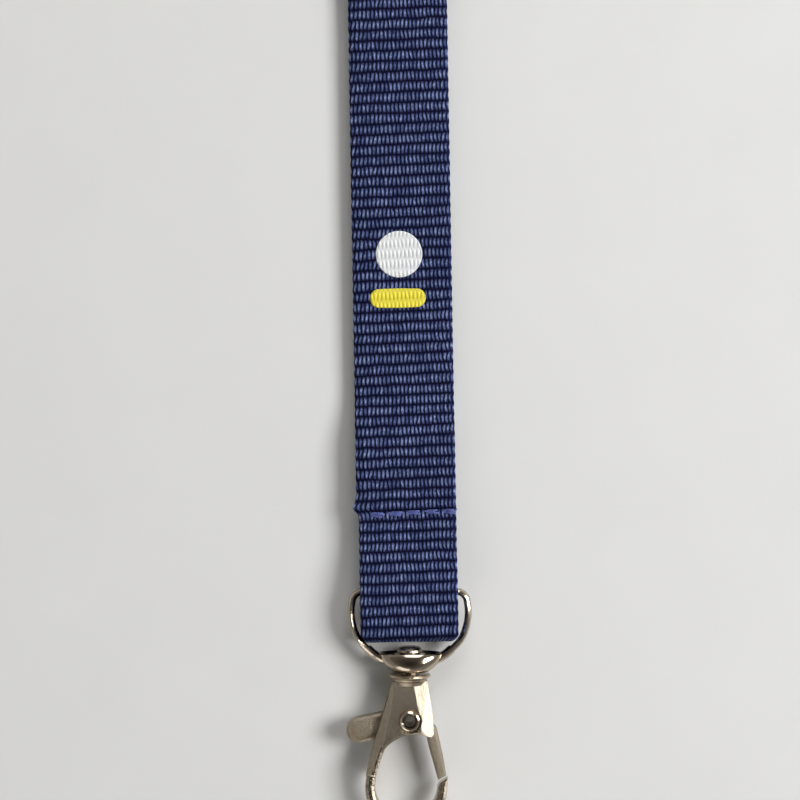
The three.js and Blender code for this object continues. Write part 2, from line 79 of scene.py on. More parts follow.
class LanyardWebbing(bpy.types.PropertyGroup):
    width: FloatProperty(name="Width", description="Width of the webbing", default=0.015, unit="LENGTH")
    thickness: FloatProperty(
        name="Thickness", description="Thickness over the ribs", default=0.00116, unit="LENGTH",
    )
    rib_pitch: FloatProperty(
        name="Rib pitch", description="Distance from rib to rib", default=0.00162, unit="LENGTH",
    )
    rib_depth: FloatProperty(
        name="Rib depth",
        description="How deep the groove between two ribs is",
        default=0.00022,
        unit="LENGTH",
    )
    float_pitch: FloatProperty(
        name="Warp pitch",
        description="Distance between warp threads across the webbing",
        default=0.00061,
        unit="LENGTH",
    )
    skew: FloatProperty(
        name="Rib skew",
        description="How far the ribs are off square",
        default=math.radians(1.6),
        subtype="ANGLE",
    )
    lean: FloatProperty(
        name="Lean",
        description="Turn of the strap to the left of the hook",
        default=math.radians(1.0),
        subtype="ANGLE",
    )
    colour: FloatVectorProperty(
        name="Colour",
        description="Navy of the warp threads",
        subtype="COLOR",
        default=(0.012, 0.021, 0.110),
        min=0,
        max=1,
    )
    # Painted shade: a near-black navy laid into the grooves between the threads, where shade falls.
    groove: FloatVectorProperty(
        name="Groove colour",
        description="Depth between the threads",
        subtype="COLOR",
        default=(0.0004, 0.0008, 0.014),
        min=0,
        max=1,
    )
    # Painted highlight on the crowns of the threads.
    highlight: FloatVectorProperty(
        name="Highlight colour",
        description="Crowns of the threads",
        subtype="COLOR",
        default=(0.32, 0.40, 0.72),
        min=0,
        max=1,
    )


class LanyardSeam(bpy.types.PropertyGroup):
    stitches: IntProperty(name="Stitches", description="Stitches across the seam", default=5)
    pitch: FloatProperty(
        name="Stitch pitch", description="Distance from stitch to stitch", default=0.0028, unit="LENGTH",
    )
    thread_radius: FloatProperty(
        name="Thread radius", description="Radius of the sewing thread", default=0.00013, unit="LENGTH",
    )
    colour: FloatVectorProperty(
        name="Colour",
        description="Sewing thread",
        subtype="COLOR",
        default=(0.016, 0.034, 0.20),
        min=0,
        max=1,
    )


class LanyardPrints(bpy.types.PropertyGroup):
    white: FloatVectorProperty(
        name="White", description="White ink", subtype="COLOR", default=(0.82, 0.84, 0.84), min=0, max=1,
    )
    yellow: FloatVectorProperty(
        name="Yellow", description="Yellow ink", subtype="COLOR", default=(0.86, 0.74, 0.035), min=0, max=1,
    )


class LanyardMetal(bpy.types.PropertyGroup):
    nickel: FloatVectorProperty(
        name="Nickel",
        description="Warm nickel plating",
        subtype="COLOR",
        default=(0.52, 0.445, 0.35),
        min=0,
        max=1,
    )
    # Painted shade too: besides the plating's own dark patches and pits, this colour darkens the hollows,
    # where shade falls.
    tarnish_and_hollow_shade: FloatVectorProperty(
        name="Tarnish",
        description="Darker plating in hollows",
        subtype="COLOR",
        default=(0.24, 0.185, 0.12),
        min=0,
        max=1,
    )
    cast: FloatVectorProperty(
        name="Cast plating",
        description="Dull plating of the lever",
        subtype="COLOR",
        default=(0.33, 0.285, 0.22),
        min=0,
        max=1,
    )
    smooth_angle: FloatProperty(
        name="Smooth angle",
        description="Edges flatter than this are shaded smooth",
        default=math.radians(32),
        subtype="ANGLE",
    )
    facet_angle: FloatProperty(
        name="Facet angle",
        description="The same for the hook, whose faces meet at small angles",
        default=math.radians(12.5),
        subtype="ANGLE",
    )


class LanyardStage(bpy.types.PropertyGroup):
    floor: FloatVectorProperty(
        name="Floor",
        description="Colour of the floor and walls",
        subtype="COLOR",
        default=(0.74, 0.74, 0.73),
        min=0,
        max=1,
    )
    camera_height: FloatProperty(
        name="Camera height",
        description="Height of the camera over the webbing",
        default=0.25,
        unit="LENGTH",
    )
    view_width: FloatProperty(
        name="View width",
        description="Width seen at the height of the webbing",
        default=0.1237,
        unit="LENGTH",
    )


# ---------- node helpers ----------

class Nodes:
    """Adds and joins nodes in one tree."""

    def __init__(self, tree):
        self.tree = tree

    def add(self, kind, **values):
        node = self.tree.nodes.new(kind)
        for key, value in values.items():
            setattr(node, key, value)
        return node

    def feed(self, socket, value):
        if isinstance(value, bpy.types.NodeSocket):
            self.tree.links.new(value, socket)
        else:
            socket.default_value = value

    def math(self, operation, *values, clamp=False):
        node = self.add("ShaderNodeMath", operation=operation, use_clamp=clamp)
        for socket, value in zip(node.inputs, values):
            self.feed(socket, value)
        return node.outputs[0]

    def mix(self, factor, a, b, blend="MIX"):
        node = self.add("ShaderNodeMix", data_type="RGBA", blend_type=blend)
        self.feed(node.inputs["Factor"], factor)
        for socket, value in ((node.inputs[6], a), (node.inputs[7], b)):
            self.feed(
                socket,
                (*value, 1) if not isinstance(value, bpy.types.NodeSocket) and len(value) == 3 else value,
            )
        return node.outputs[2]

    def combine(self, x, y, z=0.0):
        node = self.add("ShaderNodeCombineXYZ")
        for socket, value in zip(node.inputs, (x, y, z)):
            self.feed(socket, value)
        return node.outputs[0]

    def separate(self, vector):
        node = self.add("ShaderNodeSeparateXYZ")
        self.feed(node.inputs[0], vector)
        return node.outputs

    def noise(self, vector, scale, detail=2.0, roughness=0.5):
        node = self.add("ShaderNodeTexNoise")
        self.feed(node.inputs["Vector"], vector)
        for name, value in (("Scale", scale), ("Detail", detail), ("Roughness", roughness)):
            self.feed(node.inputs[name], value)
        return node.outputs["Fac"]

    def group(self, tree, **values):
        node = self.add("ShaderNodeGroup", node_tree=tree)
        for key, value in values.items():
            self.feed(node.inputs[key.replace("_", " ").capitalize()], value)
        return node.outputs

    def bump(self, height, distance, strength=1.0, normal=None):
        node = self.add("ShaderNodeBump")
        self.feed(node.inputs["Height"], height)
        node.inputs["Distance"].default_value = distance
        node.inputs["Strength"].default_value = strength
        if normal is not None:
            self.feed(node.inputs["Normal"], normal)
        return node.outputs[0]


def new_group(name, inputs, outputs):
    """A shader node group with float or vector inputs and float or colour outputs."""
    tree = bpy.data.node_groups.new(name, "ShaderNodeTree")
    kinds = {"float": "NodeSocketFloat", "vector": "NodeSocketVector", "colour": "NodeSocketColor"}
    for label, kind, default in inputs:
        socket = tree.interface.new_socket(label, in_out="INPUT", socket_type=kinds[kind])
        socket.default_value = default
    for label, kind in outputs:
        tree.interface.new_socket(label, in_out="OUTPUT", socket_type=kinds[kind])
    nodes = Nodes(tree)
    source = nodes.add("NodeGroupInput").outputs
    sink = nodes.add("NodeGroupOutput").inputs
    return nodes, source, sink


def new_material(name, **sockets):
    """A material with one Principled shader; uniform values are set on its own sockets."""
    material = bpy.data.materials.new(name)
    material.use_nodes = True
    shader = material.node_tree.nodes["Principled BSDF"]
    for label, value in sockets.items():
        shader.inputs[label.replace("_", " ")].default_value = value
    return material, Nodes(material.node_tree), shader


# ---------- shared effects ----------

def weave_group():
    """Ribs of warp floats: where the threads crown, how high they stand, and their fibre."""
    nodes, given, out = new_group(
        "Ribbed weave",
        [
            ("Strip", "vector", (0, 0, 0)),
            ("Rib pitch", "float", 1.62),
            ("Float pitch", "float", 0.61),
            ("Skew", "float", 0.03),
        ],
        [("Crown", "float"), ("Height", "float"), ("Fibre", "float"), ("Selvedge", "float")],
    )
    across, along, _ = nodes.separate(given["Strip"])
    square = nodes.math("SUBTRACT", along, nodes.math("MULTIPLY", across, given["Skew"]))
    wander = nodes.noise(nodes.combine(across, along), 0.35, 1.0)
    rib = nodes.math(
        "ADD", nodes.math("DIVIDE", square, given["Rib pitch"]), nodes.math("MULTIPLY", wander, 0.25),
    )
    rib_number = nodes.math("FLOOR", rib)
    rib_place = nodes.math("FRACT", rib)
    shuffle = nodes.add("ShaderNodeTexWhiteNoise", noise_dimensions="1D")
    nodes.feed(shuffle.inputs["W"], rib_number)
    column = nodes.math("DIVIDE", across, given["Float pitch"])
    column = nodes.math("ADD", column, nodes.math("MULTIPLY", shuffle.outputs["Value"], 0.9))
    wave = nodes.noise(nodes.combine(across, rib_number), 0.9, 1.0)
    lean = nodes.math("MULTIPLY", nodes.math("SUBTRACT", wave, 0.5), 2.2)
    column = nodes.math("ADD", column, nodes.math("MULTIPLY", lean, nodes.math("SUBTRACT", rib_place, 0.5)))
    column_number = nodes.math("FLOOR", column)
    column_place = nodes.math("FRACT", column)
    ridge = nodes.math("SINE", nodes.math("MULTIPLY", rib_place, math.pi))
    round_float = nodes.math("SINE", nodes.math("MULTIPLY", column_place, math.pi))
    crown = nodes.math("MULTIPLY", nodes.math("POWER", ridge, 1.1), nodes.math("POWER", round_float, 1.3))
    own = nodes.add("ShaderNodeTexWhiteNoise", noise_dimensions="2D")
    nodes.feed(own.inputs["Vector"], nodes.combine(column_number, rib_number))
    strands = nodes.noise(
        nodes.combine(nodes.math("MULTIPLY", across, 7.0), nodes.math("MULTIPLY", along, 1.6)),
        1.3,
        3.0,
        0.65,
    )
    sharp = nodes.math("MULTIPLY", nodes.math("SUBTRACT", strands, 0.36), 3.2, clamp=True)
    fibre = nodes.math("MULTIPLY", sharp, nodes.math("MULTIPLY_ADD", own.outputs["Value"], 0.75, 0.4))
    height = nodes.math("ADD", crown, nodes.math("MULTIPLY", strands, 0.35))
    edge = nodes.math("GREATER_THAN", across, 6.95)
    slant = nodes.math(
        "SINE", nodes.math("MULTIPLY", nodes.math("ADD", along, nodes.math("MULTIPLY", across, 1.4)), 7.75),
    )
    nodes.feed(out["Crown"], crown)
    nodes.feed(out["Height"], height)
    nodes.feed(out["Fibre"], fibre)
    nodes.feed(out["Selvedge"], nodes.math("MULTIPLY", edge, nodes.math("MULTIPLY_ADD", slant, 0.5, 0.5)))
    return nodes.tree


def plating_group():
    """Fine pits, scratches and discoloured patches of nickel plating."""
    nodes, given, out = new_group(
        "Worn plating",
        [("Place", "vector", (0, 0, 0)), ("Pits", "float", 0.5)],
        [("Tarnish", "float"), ("Height", "float"), ("Roughness", "float")],
    )
    scaled = nodes.add("ShaderNodeVectorMath", operation="SCALE")
    nodes.feed(scaled.inputs[0], given["Place"])
    scaled.inputs["Scale"].default_value = 1000
    place = scaled.outputs[0]
    broad = nodes.noise(place, 0.5, 3.0, 0.6)
    grain = nodes.noise(place, 4.2, 3.0, 0.6)
    specks = nodes.add("ShaderNodeTexVoronoi", feature="F1")
    nodes.feed(specks.inputs["Vector"], place)
    specks.inputs["Scale"].default_value = 2.4
    pit = nodes.math("LESS_THAN", specks.outputs["Distance"], nodes.math("MULTIPLY", given["Pits"], 0.30))
    stretched = nodes.add("ShaderNodeMapping")
    nodes.feed(stretched.inputs["Vector"], place)
    stretched.inputs["Rotation"].default_value = (0, 0, math.radians(28))
    stretched.inputs["Scale"].default_value = (9.0, 0.5, 1.0)
    scratch = nodes.math("GREATER_THAN", nodes.noise(stretched.outputs[0], 1.5, 1.0), 0.74)
    nodes.feed(
        out["Tarnish"],
        nodes.math("ADD", nodes.math("MULTIPLY", broad, 0.75), nodes.math("MULTIPLY", pit, 0.35), clamp=True),
    )
    height = nodes.math(
        "SUBTRACT", grain, nodes.math("MULTIPLY", pit, nodes.math("MULTIPLY", given["Pits"], 0.8)),
    )
    nodes.feed(out["Height"], nodes.math("SUBTRACT", height, nodes.math("MULTIPLY", scratch, 0.25)))
    nodes.feed(
        out["Roughness"],
        nodes.math("ADD", nodes.math("MULTIPLY", grain, 0.5), nodes.math("MULTIPLY", scratch, 0.25)),
    )
    return nodes.tree


def edge_group():
    """How sharply the surface turns outwards, for a painted highlight on the edges and painted shade in the
    hollows.
    """
    nodes, given, out = new_group(
        "Edge highlight and hollow shade", [("Strength", "float", 1.0)], [("Edge", "float"), ("Hollow", "float")],
    )
    point = nodes.add("ShaderNodeNewGeometry").outputs["Pointiness"]
    raised = nodes.math("MULTIPLY", nodes.math("SUBTRACT", point, 0.515), 14.0, clamp=True)
    sunk = nodes.math("MULTIPLY", nodes.math("SUBTRACT", 0.485, point), 14.0, clamp=True)
    nodes.feed(out["Edge"], nodes.math("MULTIPLY", raised, given["Strength"], clamp=True))
    nodes.feed(out["Hollow"], nodes.math("MULTIPLY", sunk, given["Strength"], clamp=True))
    return nodes.tree


# ---------- materials ----------

def strip_place(nodes):
    """The point's place on the flat webbing, in millimetres across and along."""
    return nodes.add("ShaderNodeUVMap", uv_map="strip").outputs[0]


def weave_of(nodes, weave, settings):
    return nodes.group(
        weave,
        Strip=strip_place(nodes),
        Rib_pitch=settings.rib_pitch / MM,
        Float_pitch=settings.float_pitch / MM,
        Skew=math.tan(settings.skew),
    )


def webbing_material(settings, weave):
    material, nodes, shader = new_material("Navy webbing", Roughness=0.8)
    shader.inputs["Specular IOR Level"].default_value = 0.08
    woven = weave_of(nodes, weave, settings)
    # The colour runs from the painted groove shade up to the thread's navy on the crowns.
    body = nodes.mix(woven["Crown"], settings.groove, settings.colour)
    # Painted highlight: the crowns, times the fibre, are mixed towards the highlight colour.
    bright = nodes.math(
        "MULTIPLY",
        nodes.math("POWER", woven["Crown"], 1.8),
        nodes.math("MULTIPLY", woven["Fibre"], 1.5),
        clamp=True,
    )
    body = nodes.mix(bright, body, settings.highlight)
    body = nodes.mix(nodes.math("MULTIPLY", woven["Selvedge"], 0.45), body, settings.colour)
    nodes.feed(shader.inputs["Base Color"], body)
    nodes.feed(shader.inputs["Normal"], nodes.bump(woven["Height"], 0.00022))
    return material


def ink_material(name, colour, settings, weave):
    material, nodes, shader = new_material(name, Roughness=0.55)
    woven = weave_of(nodes, weave, settings)
    # In the grooves the ink is mixed 30 % towards the navy: partly thin, worn ink, partly painted shade in
    # the grooves.
    thin_ink_and_groove_shade = nodes.math("MULTIPLY", nodes.math("SUBTRACT", 0.34, woven["Crown"]), 1.7, clamp=True)
    shade = nodes.mix(0.30, colour, settings.colour)
    nodes.feed(shader.inputs["Base Color"], nodes.mix(thin_ink_and_groove_shade, colour, shade))
    nodes.feed(shader.inputs["Normal"], nodes.bump(woven["Crown"], 0.00012))
    return material


def thread_material(settings):
    material, nodes, shader = new_material("Sewing thread", Roughness=0.55, Sheen_Weight=0.3)
    across, along, _ = nodes.separate(nodes.add("ShaderNodeUVMap", uv_map="strip").outputs[0])
    # Painted highlight: pale stripes along the twist of the thread, the thread colour mixed towards a paler
    # copy; the same stripes drive the bump.
    twist = nodes.math(
        "SINE", nodes.math("ADD", nodes.math("MULTIPLY", along, 26.0), nodes.math("MULTIPLY", across, 6.283)),
    )
    twist_highlight = nodes.math("MULTIPLY_ADD", twist, 0.5, 0.5)
    pale = tuple(min(1.0, channel * 3.0 + 0.12) for channel in settings.colour)
    nodes.feed(shader.inputs["Base Color"], nodes.mix(twist_highlight, settings.colour, pale))
    nodes.feed(shader.inputs["Normal"], nodes.bump(twist_highlight, 0.00006))
    return material


def band_material():
    material, nodes, shader = new_material("Elastic band", Roughness=0.75, Sheen_Weight=0.15)
    place = nodes.add("ShaderNodeTexCoord").outputs["Object"]
    x, y, z = nodes.separate(place)
    cords = nodes.math("SINE", nodes.math("MULTIPLY", y, 2 * math.pi / (0.75 * MM)))
    picks = nodes.math("SINE", nodes.math("MULTIPLY", nodes.math("ADD", x, z), 2 * math.pi / (0.5 * MM)))
    knit = nodes.math(
        "MULTIPLY",
        nodes.math("MULTIPLY_ADD", cords, 0.5, 0.5),
        nodes.math("MULTIPLY_ADD", picks, 0.25, 0.75),
    )
    nodes.feed(shader.inputs["Base Color"], nodes.mix(knit, (0.003, 0.003, 0.004), (0.028, 0.029, 0.034)))
    nodes.feed(shader.inputs["Normal"], nodes.bump(knit, 0.00015))
    return material


def plated_material(name, colour, tarnish_and_hollow_shade, plating, edges, pits, roughness, depth):
    material, nodes, shader = new_material(name, Metallic=1.0)
    place = nodes.add("ShaderNodeTexCoord").outputs["Object"]
    worn = nodes.group(plating, Place=place, Pits=pits)
    edge = nodes.group(edges, Strength=1.0)
    # Darker in the noisy, pitted patches of the plating, plus painted shade in the hollows.
    dark = nodes.math(
        "ADD",
        nodes.math("MULTIPLY", worn["Tarnish"], 0.55),
        nodes.math("MULTIPLY", edge["Hollow"], 0.5),
        clamp=True,
    )
    plate = nodes.mix(dark, colour, tarnish_and_hollow_shade)
    # Painted highlight: the edges are mixed towards a brighter copy of the plating colour.
    bright = tuple(min(1.0, channel * 1.25) for channel in colour)
    nodes.feed(
        shader.inputs["Base Color"], nodes.mix(nodes.math("MULTIPLY", edge["Edge"], 0.6), plate, bright),
    )
    nodes.feed(
        shader.inputs["Roughness"],
        nodes.math("MULTIPLY_ADD", worn["Roughness"], roughness, roughness * 0.7, clamp=True),
    )
    nodes.feed(shader.inputs["Normal"], nodes.bump(worn["Height"], depth))
    return material


# ---------- mesh helpers ----------

def mesh_object(name, points, faces, material, strip=None, smooth=True):
    """An object from points in metres and faces, with each point's place on the flat strip as its UV."""
    mesh = bpy.data.meshes.new(name)
    mesh.from_pydata([tuple(p) for p in points], [], [tuple(int(i) for i in f) for f in faces])
    mesh.polygons.foreach_set("use_smooth", [smooth] * len(mesh.polygons))
    if strip is not None:
        corners = np.empty(len(mesh.loops), dtype=np.int32)
        mesh.loops.foreach_get("vertex_index", corners)
        layer = mesh.uv_layers.new(name="strip")
        layer.data.foreach_set("uv", np.asarray(strip, dtype=np.float32)[corners].ravel())
    mesh.materials.append(material)
    mesh.update()
    obj = bpy.data.objects.new(name, mesh)
    bpy.context.scene.collection.objects.link(obj)
    return obj


def ease(y, start, end, low, high):
    t = np.clip((np.asarray(y, dtype=float) - start) / (end - start), 0, 1)
    return low + (high - low) * t * t * (3 - 2 * t)


# ---------- the webbing's course, in millimetres from the pivot ----------

FOLD_END = 11.75
FOLD_RADIUS = 1.85
FOLD_CORNER = 1.15
BACK_END = 27.0
SEAM = 31.8
TAIL_END = 38.5
STRAND_END = 118.0
LAYER = 0.6
LAYER_PITCH = 1.5

NEAR_FOLD = (121.8, 6.0)  # middle of the nested folds at the near end of the hank, along and up
FAR_FOLD = (235.5, 3.1)
NECK_BIGHT = (236.6, 8.3)
INNER_RADIUS, OUTER_RADIUS, BIGHT_RADIUS = 1.2, 2.5, 1.4
WAIST = (178.65, 6.0)  # middle of the band and how far the layers stay pressed together

NEAR_HEIGHTS = (0.6, 2.1, 3.5, 4.8, 7.2, 8.5)
FAR_HEIGHTS = (0.6, 1.9, 4.3, 5.6, 6.9, 9.7)
WAIST_LOW, WAIST_PITCH = 1.89, 1.183

WHITE_DISC = (-0.6, 71.8, 3.6)  # middle and radius
YELLOW_BAR = (-0.9, 65, 2.8, 1.5)  # middle, half the straight length and end radius

# The plies of one stitch: rise along the strap, start and length across it, and slant.
STITCH_PLIES = (
    (-0.20, 0.00, 1.75, -0.20),
    (-0.08, 0.10, 1.95, 0.10),
    (0.10, -0.10, 1.60, 0.00),
    (0.24, 0.25, 1.70, -0.06),
    (0.02, 0.45, 1.25, 0.24),
)
STITCH_ARCH, STITCH_DIP = 0.30, 0.16  # how far a stitch rises, and how deep its ends go in
FIRST_STITCH = 1.35  # shift of the row of stitches to the right
SEAM_SLOPE = 0.03
SEAM_RIGHT_END = 7.1


def layer_height(layer):
    return LAYER + (layer - 1) * LAYER_PITCH


def hank_height(layer, y):
    """Height of one layer of the hank: pressed together under the band, looser towards each end."""
    waist = WAIST_LOW + WAIST_PITCH * (layer - 1)
    near = ease(y, NEAR_FOLD[0], WAIST[0] - WAIST[1], NEAR_HEIGHTS[layer - 1], waist)
    far = ease(y, WAIST[0] + WAIST[1], FAR_FOLD[0], waist, FAR_HEIGHTS[layer - 1])
    return np.where(np.asarray(y) < WAIST[0], near, far)


def straight(start, end, height, step=0.5):
    y = np.linspace(start, end, max(2, int(abs(end - start) / step)))
    return np.column_stack([y, height(y)])


def turn(centre, radius, start, end, steps=16):
    angle = np.radians(np.linspace(start, end, steps))
    return np.column_stack([centre[0] + radius * np.cos(angle), centre[1] + radius * np.sin(angle)])


def front_height(y):
    top = ease(y, 18, 28, AXIS_HEIGHT + FOLD_RADIUS, layer_height(3))
    return np.where(np.asarray(y) < 34, top, ease(y, 41, 51, layer_height(3), layer_height(2)))


def webbing_course():
    """The centreline (along, up) of the whole strip, and where on it the front strand ends."""
    fold = (FOLD_END + LAYER + FOLD_RADIUS, AXIS_HEIGHT)
    runs = [
        straight(TAIL_END, fold[0], lambda y: ease(y, 18, 26, AXIS_HEIGHT - FOLD_RADIUS, layer_height(1))),
        turn(fold, FOLD_RADIUS, 270, 90),
        straight(fold[0], STRAND_END, front_height),
    ]
    front_end = sum(len(run) for run in runs)
    near, far = NEAR_FOLD[0], FAR_FOLD[0]
    runs += [
        straight(STRAND_END, far, lambda y: hank_height(2, y)),
        turn(FAR_FOLD, INNER_RADIUS, -90, 90),
        straight(far, near, lambda y: hank_height(3, y)),
        turn(NEAR_FOLD, OUTER_RADIUS, 270, 90),
        straight(near, NECK_BIGHT[0], lambda y: hank_height(6, y)),
        turn(NECK_BIGHT, BIGHT_RADIUS, 90, -90),
        straight(NECK_BIGHT[0], near, lambda y: hank_height(5, y)),
        turn(NEAR_FOLD, INNER_RADIUS, 90, 270),
        straight(near, far, lambda y: hank_height(4, y)),
        turn(FAR_FOLD, OUTER_RADIUS, 90, -90),
        straight(far, STRAND_END, lambda y: hank_height(1, y)),
        straight(STRAND_END, BACK_END, lambda y: ease(y, 39.2, 46, layer_height(2), layer_height(1))),
    ]
    course = np.vstack(runs)
    step = np.linalg.norm(np.diff(course, axis=0), axis=1)
    keep = np.concatenate([[True], step > 1e-6])
    return course[keep], int(keep[:front_end].sum()) - 1


def lean_matrix(angle):
    """Turns the strap about the middle of its fold."""
    about = Vector((0, FOLD_END, 0))
    return Matrix.Translation(about) @ Matrix.Rotation(angle, 4, "Z") @ Matrix.Translation(-about)


class Strip:
    """The laid webbing: stations along its course, and its surface above or below them."""

    def __init__(self, settings):
        self.half = settings.width / MM / 2
        self.thick = settings.thickness / MM / 2
        self.pitch = settings.rib_pitch / MM
        self.depth = settings.rib_depth / MM
        self.skew = math.tan(settings.skew)
        self.lean = lean_matrix(settings.lean)
        course, front_end = webbing_course()
        lengths = np.concatenate([[0], np.cumsum(np.linalg.norm(np.diff(course, axis=0), axis=1))])
        self.length = float(lengths[-1])
        self.front_end = float(lengths[front_end])
        fine = np.arange(0, self.front_end, self.pitch / 6)
        coarse = np.arange(self.front_end, self.length, self.pitch / 4)
        self.s = np.concatenate([fine, coarse, [self.length]])
        self.y = np.interp(self.s, lengths, course[:, 0])
        self.z = np.interp(self.s, lengths, course[:, 1])
        ty, tz = np.gradient(self.y, self.s), np.gradient(self.z, self.s)
        norm = np.hypot(ty, tz)
        self.ny, self.nz = -tz / norm, ty / norm
        self.front = (self.s < self.front_end) & (self.nz > 0.5)

    def half_width(self):
        """Half the width at each station, drawn in at the corners of the fold; the let-out at the seam is
        added where the webbing is built.
        """
        scallop = 0.05 * np.cos(2 * math.pi * self.s / self.pitch)
        drawn = 1.2 * np.clip(FOLD_END + FOLD_CORNER + 0.3 - self.y, 0, None)
        return self.half + scallop - drawn

    def rib(self, s, x):
        """From 0 in a groove to 1 on the crown of a rib."""
        return np.abs(np.sin(math.pi * (s - x * self.skew) / self.pitch)) ** 0.7

    def pinch(self, y, x):
        """How far the sewn line pulls the surface down."""
        along = np.exp(-((y - SEAM - 0.03 * x) / 0.75) ** 2)
        across = 0.62 + 0.38 * np.cos(2 * math.pi * (x - 0.3) / 2.8)
        return 0.70 * along * across * np.clip((7.2 - np.abs(x)) / 1.2, 0, 1)

    def offset(self, s, y, x, side, sewn):
        """Distance of the surface from the centreline."""
        edge = np.clip((np.abs(x) - (self.half - 0.45)) / 0.45, 0, 1)
        body = self.thick - self.depth * (1 - self.rib(s + (0 if side > 0 else self.pitch / 2), x))
        body = body * (0.45 + 0.55 * np.sqrt(np.clip(1 - edge ** 2, 0, 1)))
        return body - np.where(sewn, self.pinch(y, x), 0)

    def top_of_front(self, y, x):
        """Height of the front strand's upper surface at a place on it, for what lies on it."""
        order = self.front
        s = np.interp(y, self.y[order], self.s[order])
        return np.interp(y, self.y[order], self.z[order]) + self.offset(s, y, x, 1, True), s

    def place(self, x, y, z):
        return world_point(*(self.lean @ Vector((x, y, z))))


def build_webbing(settings, material):
    strip = Strip(settings)
    columns = np.concatenate([[-1, -0.965], np.linspace(-0.9, 0.9, 14), [0.965, 1]])
    count, wide = len(strip.s), len(columns)
    half = strip.half_width()
    x = half[:, None] * columns[None, :]
    # Above the seam the left edge stands a little further out, and where it is sewn the edge bulges.
    spare = ease(strip.y, SEAM - 0.6, SEAM + 0.8, 0, 0.35) * strip.front
    x -= spare[:, None] * np.clip(-columns, 0, None)[None, :]
    bulge = 0.55 * np.exp(-((strip.y - SEAM - 1.0) / 0.9) ** 2) * strip.front
    x -= bulge[:, None] * np.clip(-columns - 0.55, 0, None)[None, :] / 0.45
    in_hank = (strip.s > strip.front_end) & (strip.y > STRAND_END)
    away = np.abs(strip.y - WAIST[0]) / 60
    shift = np.where(in_hank, 0.22 * np.clip(away, 0, 1) * np.sin(strip.s / 47.0), 0)
    x += shift[:, None]
    s, y, z = strip.s[:, None], strip.y[:, None], strip.z[:, None]
    outer = strip.offset(s, y, x - shift[:, None], 1, strip.front[:, None])
    inner = strip.offset(s, y, x - shift[:, None], -1, np.zeros_like(strip.front)[:, None])
    rows = []
    for side, offset in ((1, outer), (-1, inner)):
        rows.append(
            np.stack(
                [x, y + side * offset * strip.ny[:, None], z + side * offset * strip.nz[:, None]], axis=2,
            )
        )
    ring = np.concatenate([rows[0], rows[1][:, ::-1]], axis=1)
    points = ring.reshape(-1, 3)
    turned = points @ np.array(strip.lean.to_3x3()).T + np.array(strip.lean.translation)
    world = turned * MM + np.array([PIVOT.x, PIVOT.y, 0])
    around = 2 * wide
    base = np.arange(count - 1)[:, None] * around
    j = np.arange(around)[None, :]
    k = (j + 1) % around
    faces = np.stack([base + j, base + k, base + around + k, base + around + j], axis=2).reshape(-1, 4)
    caps = []
    for start, flip in ((0, False), ((count - 1) * around, True)):
        for c in range(wide - 1):
            quad = [start + c, start + around - 1 - c, start + around - 2 - c, start + c + 1]
            caps.append(quad[::-1] if flip else quad)
    faces = np.vstack([faces, caps])[:, ::-1]
    flat_x = np.concatenate(
        [np.tile(columns * strip.half, (count, 1)), np.tile((columns * strip.half)[::-1], (count, 1))],
        axis=1,
    )
    flat_s = np.repeat(strip.s[:, None], around, axis=1)
    webbing = mesh_object(
        "webbing", world, faces, material, np.stack([flat_x, flat_s], axis=2).reshape(-1, 2),
    )
    return webbing, strip


def tube(points, radius, sides=8):
    """Points, faces and strip places of a round thread through the given points, closed at both ends."""
    points = np.asarray(points, dtype=float)
    tangents = np.gradient(points, axis=0)
    tangents /= np.linalg.norm(tangents, axis=1)[:, None]
    side = np.cross(tangents, [0, 1, 0])
    side /= np.linalg.norm(side, axis=1)[:, None]
    up = np.cross(side, tangents)
    angle = np.linspace(0, 2 * math.pi, sides, endpoint=False)
    taper = np.ones(len(points))
    taper[[0, -1]] = 0.35
    radii = (radius * taper)[:, None, None]
    ring = points[:, None] + radii * (
        np.cos(angle)[None, :, None] * side[:, None] + np.sin(angle)[None, :, None] * up[:, None]
    )
    faces = []
    for i in range(len(points) - 1):
        for j in range(sides):
            k = (j + 1) % sides
            faces.append([i * sides + j, i * sides + k, (i + 1) * sides + k, (i + 1) * sides + j])
    last = (len(points) - 1) * sides
    caps = [list(range(sides))[::-1], [last + j for j in range(sides)]]
    run = np.concatenate([[0], np.cumsum(np.linalg.norm(np.diff(points, axis=0), axis=1))])
    strip = np.stack(
        [np.tile(angle / (2 * math.pi), (len(points), 1)), np.repeat(run[:, None], sides, axis=1)], axis=2,
    )
    return ring.reshape(-1, 3), faces + caps, strip.reshape(-1, 2)


def build_threads(name, seam, strip, material, rows):
    """Threads laid over the webbing. A row is its x and y at each end and its height."""
    points, faces, places = [], [], []
    for x0, x1, y0, y1, rest_height in rows:
        t = np.linspace(0, 1, 15)
        x = x0 + (x1 - x0) * t
        y = y0 + (y1 - y0) * t
        z = rest_height(x, y) + np.sin(math.pi * t) ** 0.6 * STITCH_ARCH - STITCH_DIP
        p, f, u = tube(np.column_stack([x, y, z]), seam.thread_radius / MM)
        start = sum(len(q) for q in points)
        points.append(p)
        places.append(u)
        faces += [[start + i for i in face] for face in f]
    world = [strip.place(*p) for p in np.vstack(points)]
    return mesh_object(name, world, faces, material, np.vstack(places))


